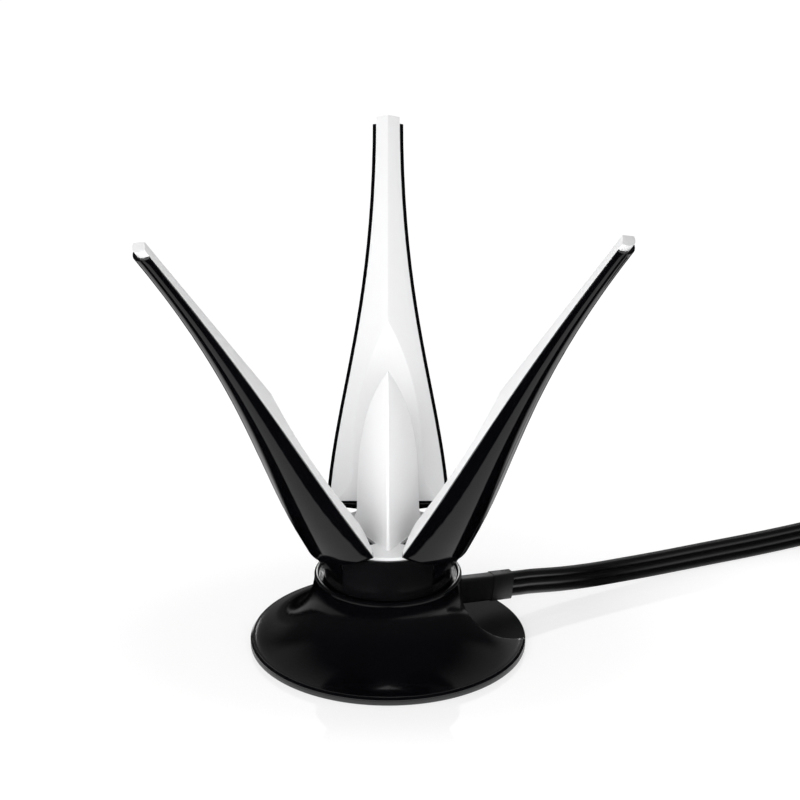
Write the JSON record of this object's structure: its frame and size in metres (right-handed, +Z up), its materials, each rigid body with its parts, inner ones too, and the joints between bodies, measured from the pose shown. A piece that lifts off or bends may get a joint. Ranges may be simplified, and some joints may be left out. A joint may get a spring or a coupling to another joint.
{
  "type": "tabletop antenna",
  "caption": "Tabletop antenna with a flared round base, hinged petal blades that open out from a central spire, and a ribbon of coaxial leads with screw-on connectors.",
  "frame": {"origin": "on the table under the centre of the base, at the rubber pad's lower face", "axes": "+Z up along the base's axis; -Y is the front, where the camera of the picture stands; +X is the cable's side"},
  "size_m": [0.3495, 0.1499, 0.1466],
  "materials": {
    "gloss_black": "polished black moulded plastic",
    "plate_black": "satin black moulded plastic with a polished top",
    "satin_black": "satin black moulded plastic",
    "soft_white": "satin white moulded plastic",
    "rubber_black": "matt black rubber",
    "cable_black": "black cable jacket",
    "sleeve_black": "black heat-shrink sleeve",
    "steel": "plain steel",
    "cast_grey": "raw cast iron",
    "acetal_black": "black acetal",
    "gold": "gold-plated brass",
    "ptfe_white": "white insulator",
    "board_green": "green circuit board",
    "tie_black": "black strap"
  },
  "bodies": {
    "stand": {"base_cover": "gloss_black", "base_plate": "plate_black", "foot_pad": "rubber_black", "plate_screws": "steel", "ballast_weight": "cast_grey", "hub_drum": "satin_black", "hub_screws": "steel", "spire_cap": "soft_white", "cap_screw": "steel", "hinge_pin_back": "steel", "hinge_pin_left": "steel", "hinge_pin_right": "steel", "friction_washers_back": "acetal_black", "friction_washers_left": "acetal_black", "friction_washers_right": "acetal_black", "cable_boot": "rubber_black", "inner_leads": "cable_black", "ribbon_cable": "cable_black", "cable_coil": "cable_black", "coil_ties": "tie_black", "coax_tail_1": "cable_black", "coax_tail_2": "cable_black", "coax_tail_3": "cable_black", "cable_sleeve_1": "sleeve_black", "cable_sleeve_2": "sleeve_black", "cable_sleeve_3": "sleeve_black", "connector_body_1": "gold", "connector_body_2": "gold", "connector_body_3": "gold", "contact_insert_1": "ptfe_white", "contact_insert_2": "ptfe_white", "contact_insert_3": "ptfe_white"},
    "blade_back": {"blade_shell_back": "gloss_black", "blade_core_back": "soft_white", "antenna_board_back": "board_green"},
    "blade_left": {"blade_shell_left": "gloss_black", "blade_core_left": "soft_white", "antenna_board_left": "board_green"},
    "blade_right": {"blade_shell_right": "gloss_black", "blade_core_right": "soft_white", "antenna_board_right": "board_green"},
    "nut_1": {"coupling_nut_1": "gold"},
    "nut_2": {"coupling_nut_2": "gold"},
    "nut_3": {"coupling_nut_3": "gold"}
  },
  "joints": [
    {"name": "blade_back_tilt", "type": "hinge", "parent": "stand", "child": "blade_back", "pos_m": [0, 0.0145, 0.0325], "axis": [-1, 0, 0], "range_deg": [-34.8, 10.2]},
    {"name": "blade_left_tilt", "type": "hinge", "parent": "stand", "child": "blade_left", "pos_m": [-0.01256, -0.00725, 0.0325], "axis": [0.5, -0.866, 0], "range_deg": [-35.9, 9.1]},
    {"name": "blade_right_tilt", "type": "hinge", "parent": "stand", "child": "blade_right", "pos_m": [0.01256, -0.00725, 0.0325], "axis": [0.5, 0.866, 0], "range_deg": [-34.5, 10.5]},
    {"name": "nut_1_turn", "type": "hinge", "parent": "stand", "child": "nut_1", "pos_m": [0.27473, 0.0812, 0.0047], "axis": [0.9719, 0.2354, 0], "continuous": true},
    {"name": "nut_2_turn", "type": "hinge", "parent": "stand", "child": "nut_2", "pos_m": [0.27226, 0.09141, 0.0047], "axis": [0.9719, 0.2354, 0], "continuous": true},
    {"name": "nut_3_turn", "type": "hinge", "parent": "stand", "child": "nut_3", "pos_m": [0.26979, 0.10161, 0.0047], "axis": [0.9719, 0.2354, 0], "continuous": true}
  ]
}
